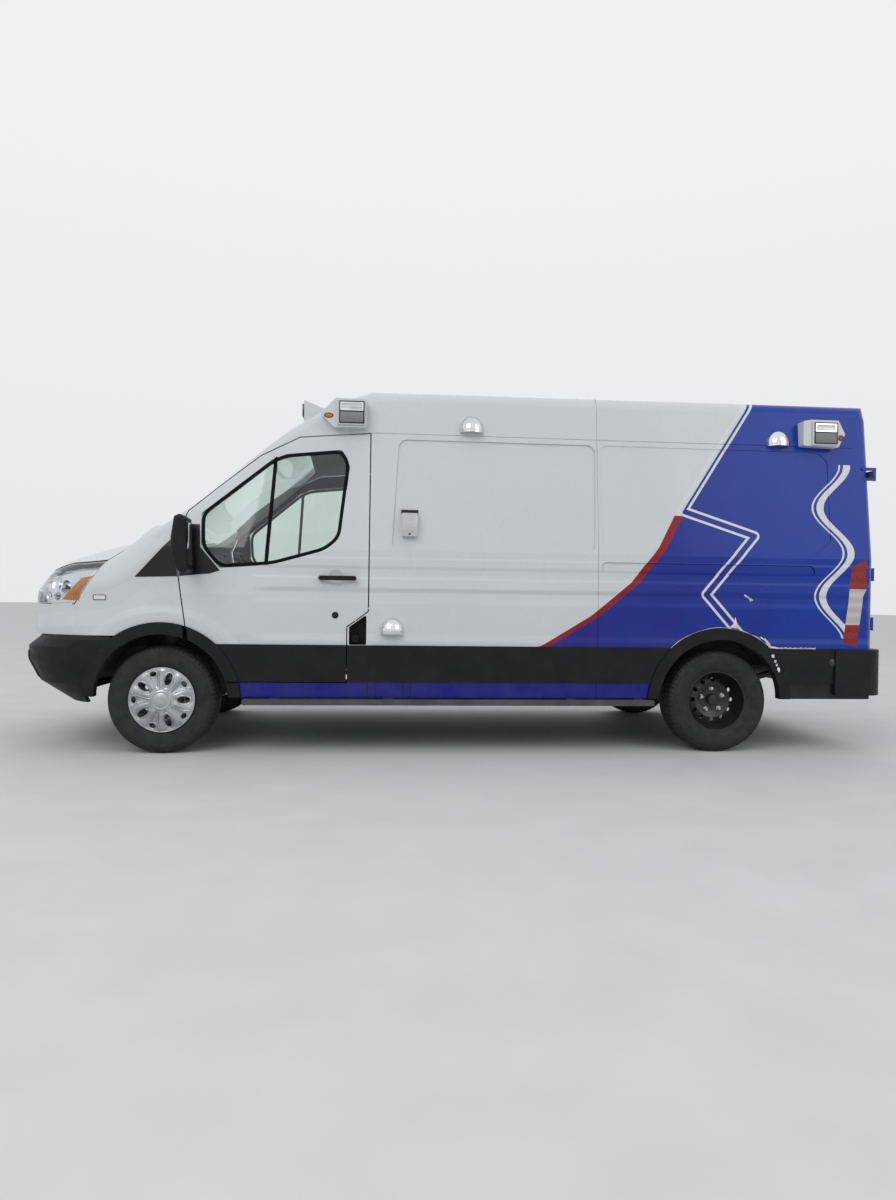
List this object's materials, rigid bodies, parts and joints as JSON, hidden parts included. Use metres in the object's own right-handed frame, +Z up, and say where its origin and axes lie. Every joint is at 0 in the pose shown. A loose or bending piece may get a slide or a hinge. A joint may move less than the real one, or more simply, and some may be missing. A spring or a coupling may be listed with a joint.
{
  "type": "van ambulance",
  "caption": "Long-wheelbase raised-roof panel van fitted out as an ambulance, with opening doors, bonnet, steering and rolling wheels.",
  "frame": {"origin": "on the ground, at the middle of the vehicle's length and width", "axes": "+X towards the tail, so the nose points to -X; +Y to the passenger side; +Z up"},
  "size_m": [5.9806, 2.474, 2.5591],
  "materials": {
    "white_paint": "gloss",
    "glass": "clear",
    "dark_glass": "tinted",
    "black_plastic": "grained",
    "grey_plastic": "grained",
    "clear_lens": "clear",
    "red_lens": "clear",
    "chrome": "polished",
    "steel": "brushed",
    "silver_paint": "satin",
    "black_paint": "satin",
    "iron": "cast",
    "tyre": "rubber",
    "aluminium": "satin",
    "seat_fabric": "woven",
    "vinyl": "smooth",
    "cabinet_board": "smooth"
  },
  "bodies": {
    "van_body": {"bench": "vinyl", "bulkhead": "cabinet_board", "cab_frame": "white_paint", "cabinet": "cabinet_board", "cladding": "black_plastic", "corner_pods": "white_paint", "dashboard": "grey_plastic", "dome_lamps": "chrome", "engine": "iron", "exhaust": "steel", "fender_left": "white_paint", "fender_right": "white_paint", "firewall": "black_paint", "floor": "black_paint", "front_bumper": "black_plastic", "front_suspension": "iron", "fuel_filler": "black_plastic", "fuel_tank": "black_plastic", "grille": "black_plastic", "headlamp_housings": "chrome", "headlamps": "clear_lens", "inlet_cover": "steel", "nose_panel": "white_paint", "radiator": "aluminium", "rear_axle": "iron", "rear_bumper": "black_plastic", "roof": "white_paint", "roof_fairing": "white_paint", "seats": "seat_fabric", "side_left": "white_paint", "side_right": "white_paint", "side_steps": "aluminium", "sliding_door": "white_paint", "sliding_door_glass": "dark_glass", "steering_wheel": "black_plastic", "tail_lamps": "red_lens", "warning_bar": "clear_lens", "windscreen": "glass", "wipers": "black_plastic"},
    "front_door_left": {"door_left": "white_paint", "door_glass_left": "glass", "door_trim_left": "black_plastic"},
    "front_door_right": {"door_right": "white_paint", "door_glass_right": "glass", "door_trim_right": "black_plastic"},
    "back_door_left": {"rear_door_left": "white_paint", "rear_glass_left": "dark_glass"},
    "back_door_right": {"rear_door_right": "white_paint", "rear_glass_right": "dark_glass"},
    "hood": {"bonnet": "white_paint"},
    "steer_left": {"knuckle_left": "iron"},
    "steer_right": {"knuckle_right": "iron"},
    "road_wheel_front_left": {"tyre_front_left": "tyre", "wheel_front_left": "silver_paint"},
    "road_wheel_front_right": {"tyre_front_right": "tyre", "wheel_front_right": "silver_paint"},
    "road_wheel_rear_left": {"tyre_rear_left": "tyre", "wheel_rear_left": "black_paint"},
    "road_wheel_rear_right": {"tyre_rear_right": "tyre", "wheel_rear_right": "black_paint"}
  },
  "joints": [
    {"name": "front_door_left_hinge", "type": "hinge", "parent": "van_body", "child": "front_door_left", "pos_m": [-1.9155, -0.985, 1.17], "axis": [0, 0, -1], "range_deg": [0, 70]},
    {"name": "back_door_left_hinge", "type": "hinge", "parent": "van_body", "child": "back_door_left", "pos_m": [2.9225, -0.935, 1.5], "axis": [0, 0, -1], "range_deg": [0, 180]},
    {"name": "steer_left_pivot", "type": "hinge", "parent": "van_body", "child": "steer_left", "pos_m": [-1.9675, -0.765, 0.352], "axis": [0, 0, 1], "range_deg": [-35, 35]},
    {"name": "road_wheel_front_left_spin", "type": "hinge", "parent": "steer_left", "child": "road_wheel_front_left", "pos_m": [-1.9675, -0.866, 0.352], "axis": [0, 1, 0], "continuous": true},
    {"name": "road_wheel_rear_left_spin", "type": "hinge", "parent": "van_body", "child": "road_wheel_rear_left", "pos_m": [1.7825, -0.866, 0.352], "axis": [0, 1, 0], "continuous": true},
    {"name": "front_door_right_hinge", "type": "hinge", "parent": "van_body", "child": "front_door_right", "pos_m": [-1.9155, 0.985, 1.17], "axis": [0, 0, 1], "range_deg": [0, 70]},
    {"name": "back_door_right_hinge", "type": "hinge", "parent": "van_body", "child": "back_door_right", "pos_m": [2.9225, 0.935, 1.5], "axis": [0, 0, 1], "range_deg": [0, 180]},
    {"name": "steer_right_pivot", "type": "hinge", "parent": "van_body", "child": "steer_right", "pos_m": [-1.9675, 0.765, 0.352], "axis": [0, 0, 1], "range_deg": [-35, 35]},
    {"name": "road_wheel_front_right_spin", "type": "hinge", "parent": "steer_right", "child": "road_wheel_front_right", "pos_m": [-1.9675, 0.866, 0.352], "axis": [0, 1, 0], "continuous": true},
    {"name": "road_wheel_rear_right_spin", "type": "hinge", "parent": "van_body", "child": "road_wheel_rear_right", "pos_m": [1.7825, 0.866, 0.352], "axis": [0, 1, 0], "continuous": true},
    {"name": "hood_hinge", "type": "hinge", "parent": "van_body", "child": "hood", "pos_m": [-2.1185, 0, 1.463], "axis": [0, 1, 0], "range_deg": [0, 55]}
  ],
  "couplings": [
    {"joint": "steer_right_pivot", "follows": "steer_left_pivot", "ratio": 1}
  ]
}
